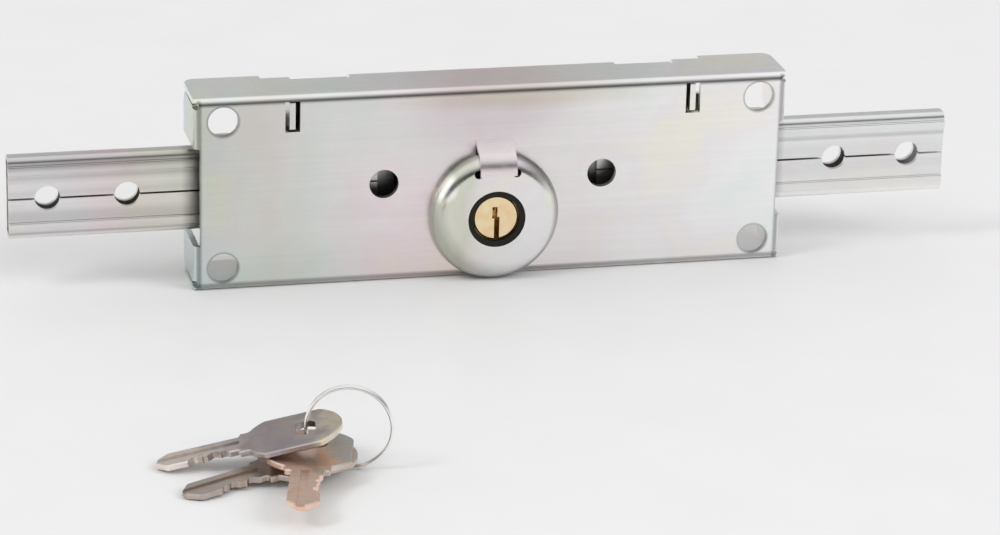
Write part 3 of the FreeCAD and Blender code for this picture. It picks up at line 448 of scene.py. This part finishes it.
floor_shader.inputs["Roughness"].default_value = 0.6
floor_shader.inputs["Specular IOR Level"].default_value = 0.0
floor_coat = add(floor_tree, "ShaderNodeBsdfGlossy", Color=(1, 1, 1, 1), Roughness=0.22)
coated = add(floor_tree, "ShaderNodeMixShader", _0=floor_gloss, _1=floor_shader.outputs[0],
             _2=floor_coat.outputs[0])
floor_output = next(node for node in floor_tree.nodes if node.type == "OUTPUT_MATERIAL")
floor_tree.links.new(coated.outputs[0], floor_output.inputs[0])
floor.data.materials.append(floor_material)

# Studio: an even sky of white cloth. What shiny metal mirrors has more in it: a ceiling that is
# greyer half way up, an unlit low band in front, and a bright window to the left.
world = bpy.data.worlds.new("studio_sky")
bpy.context.scene.world = world
world.use_nodes = True
sky = world.node_tree
sky.nodes.clear()
sky_level = 0.84
direction = add(sky, "ShaderNodeTexCoord").outputs["Generated"]
parts_of_direction = add(sky, "ShaderNodeSeparateXYZ", Vector=direction)
ceiling = add(sky, "ShaderNodeValToRGB", Fac=parts_of_direction.outputs["Z"])
set_ramp(ceiling, [(0.1, "#eeeeee"), (0.26, "#a8a8a8"), (0.45, "#aeaeae"), (0.8, "#f6f6f6")])
in_front = add(sky, "ShaderNodeMapRange", Value=parts_of_direction.outputs["Y"], From_Min=-0.3,
               From_Max=-0.8)
low = add(sky, "ShaderNodeValToRGB", Fac=parts_of_direction.outputs["Z"])
set_ramp(low, [(0.0, "#000000"), (0.06, "#ffffff"), (0.36, "#ffffff"), (0.5, "#000000")])
low_in_front = add(sky, "ShaderNodeMath", {"operation": "MULTIPLY"}, _0=in_front.outputs[0],
                   _1=low.outputs["Color"])
room = add(sky, "ShaderNodeMix", {"data_type": "RGBA"}, _0=low_in_front.outputs[0],
           _6=ceiling.outputs["Color"], _7=linear("#484848"))
window_way = Vector((-0.91, -0.15, 0.36)).normalized()
facing_window = add(sky, "ShaderNodeVectorMath", {"operation": "DOT_PRODUCT"}, _0=direction, _1=window_way)
window_edge, window_full = 0.8, 0.92
window = add(sky, "ShaderNodeMapRange", Value=facing_window.outputs["Value"], From_Min=window_edge,
             From_Max=window_full)
mirror_image = add(sky, "ShaderNodeMix", {"data_type": "RGBA"}, _0=window.outputs[0],
                   _6=room.outputs["Result"], _7=linear("#ffffff"))
sky_seen = add(sky, "ShaderNodeBackground", Color=linear("#eeeeee"))
sky_light = add(sky, "ShaderNodeBackground", Color=(1, 1, 1, 1), Strength=sky_level)
sky_mirrored = add(sky, "ShaderNodeBackground", Color=mirror_image.outputs["Result"])
rays = add(sky, "ShaderNodeLightPath")
mirrored_ray = add(sky, "ShaderNodeMath", {"operation": "MAXIMUM"}, _0=rays.outputs["Is Glossy Ray"],
                   _1=rays.outputs["Is Transmission Ray"])
lit = add(sky, "ShaderNodeMixShader", Fac=mirrored_ray.outputs[0], _1=sky_light.outputs[0],
          _2=sky_mirrored.outputs[0])
whole_sky = add(sky, "ShaderNodeMixShader", Fac=rays.outputs["Is Camera Ray"], _1=lit.outputs[0],
                _2=sky_seen.outputs[0])
sky_out = sky.nodes.new("ShaderNodeOutputWorld")
sky.links.new(whole_sky.outputs[0], sky_out.inputs[0])


def lamp(name, place, size, power):
    """Large soft panel that points at the lock, in metres and watts, and shows in no mirror."""
    data = bpy.data.lights.new(name, "AREA")
    data.shape = "DISK"
    data.size = size
    data.energy = power
    made = bpy.data.objects.new(name, data)
    bpy.context.scene.collection.objects.link(made)
    made.location = place
    made.rotation_euler = (-Vector(place)).to_track_quat("-Z", "Y").to_euler()
    made.visible_glossy = False


lamp("left_panel", (-1.4, -0.45, 1.5), size=0.75, power=10.0)
lamp("right_panel", (1.65, -1.15, 1.3), size=1.3, power=21.0)

# Camera: it stands left of the lock and above it, a metre away, turned and tilted as the
# photograph was taken. The long lens is given by its focal length in pixels of the picture.
view_turn = radians(13.64)
view_height = radians(20.34)
view_roll = radians(1.54)
view_distance = 1033.7 * mm
view_target = Vector((2.35, 0, -23.62)) * mm
picture_width = 1000
focal_pixels = 4000
sensor_width = 36.0
back = Vector((-sin(view_turn) * cos(view_height), -cos(view_turn) * cos(view_height), sin(view_height)))
level_right = (-back).cross(Vector((0, 0, 1))).normalized()
level_up = level_right.cross(-back)
right = cos(view_roll) * level_right + sin(view_roll) * level_up
up = cos(view_roll) * level_up - sin(view_roll) * level_right
camera_data = bpy.data.cameras.new("photo_camera")
camera = bpy.data.objects.new("photo_camera", camera_data)
bpy.context.scene.collection.objects.link(camera)
camera_data.sensor_width = sensor_width
camera_data.lens = sensor_width * focal_pixels / picture_width
turn = Matrix((right, up, back)).transposed()
camera.matrix_world = Matrix.Translation(view_target + back * view_distance) @ turn.to_4x4()
bpy.context.scene.camera = camera
bpy.context.scene.view_settings.view_transform = "Standard"
